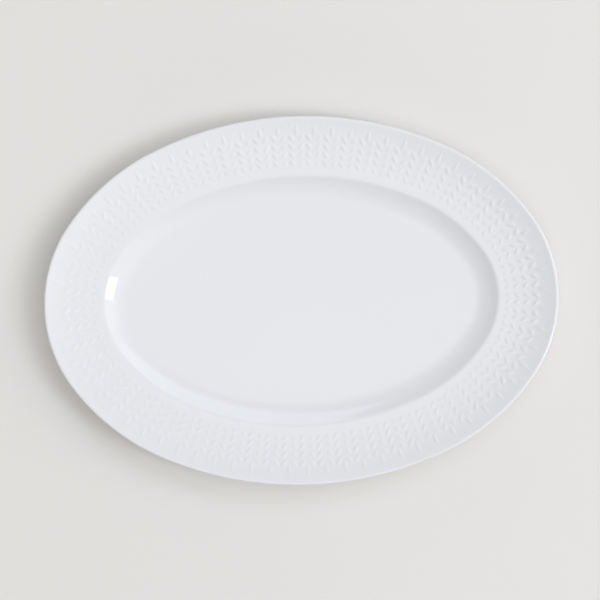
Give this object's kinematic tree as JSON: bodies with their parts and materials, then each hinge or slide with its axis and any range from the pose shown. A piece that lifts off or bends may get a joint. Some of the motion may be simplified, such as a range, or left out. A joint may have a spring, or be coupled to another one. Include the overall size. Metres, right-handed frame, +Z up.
{
  "type": "oval serving platter",
  "caption": "Oval white porcelain serving platter: shallow well, wide upswept rim with raised leaf sprigs and a fluted edge, on a foot ring.",
  "frame": {"origin": "middle of the oval, on the plane that the foot ring stands on", "axes": "+X along the platter's length, +Y across it, +Z up out of the well"},
  "size_m": [0.36, 0.258, 0.023],
  "materials": {
    "bare_porcelain": "matt, unglazed",
    "white_glaze": "clear gloss over a white body"
  },
  "bodies": {
    "root": {"porcelain_body": "bare_porcelain", "face_glaze": "white_glaze", "base_glaze": "white_glaze"}
  },
  "joints": []
}
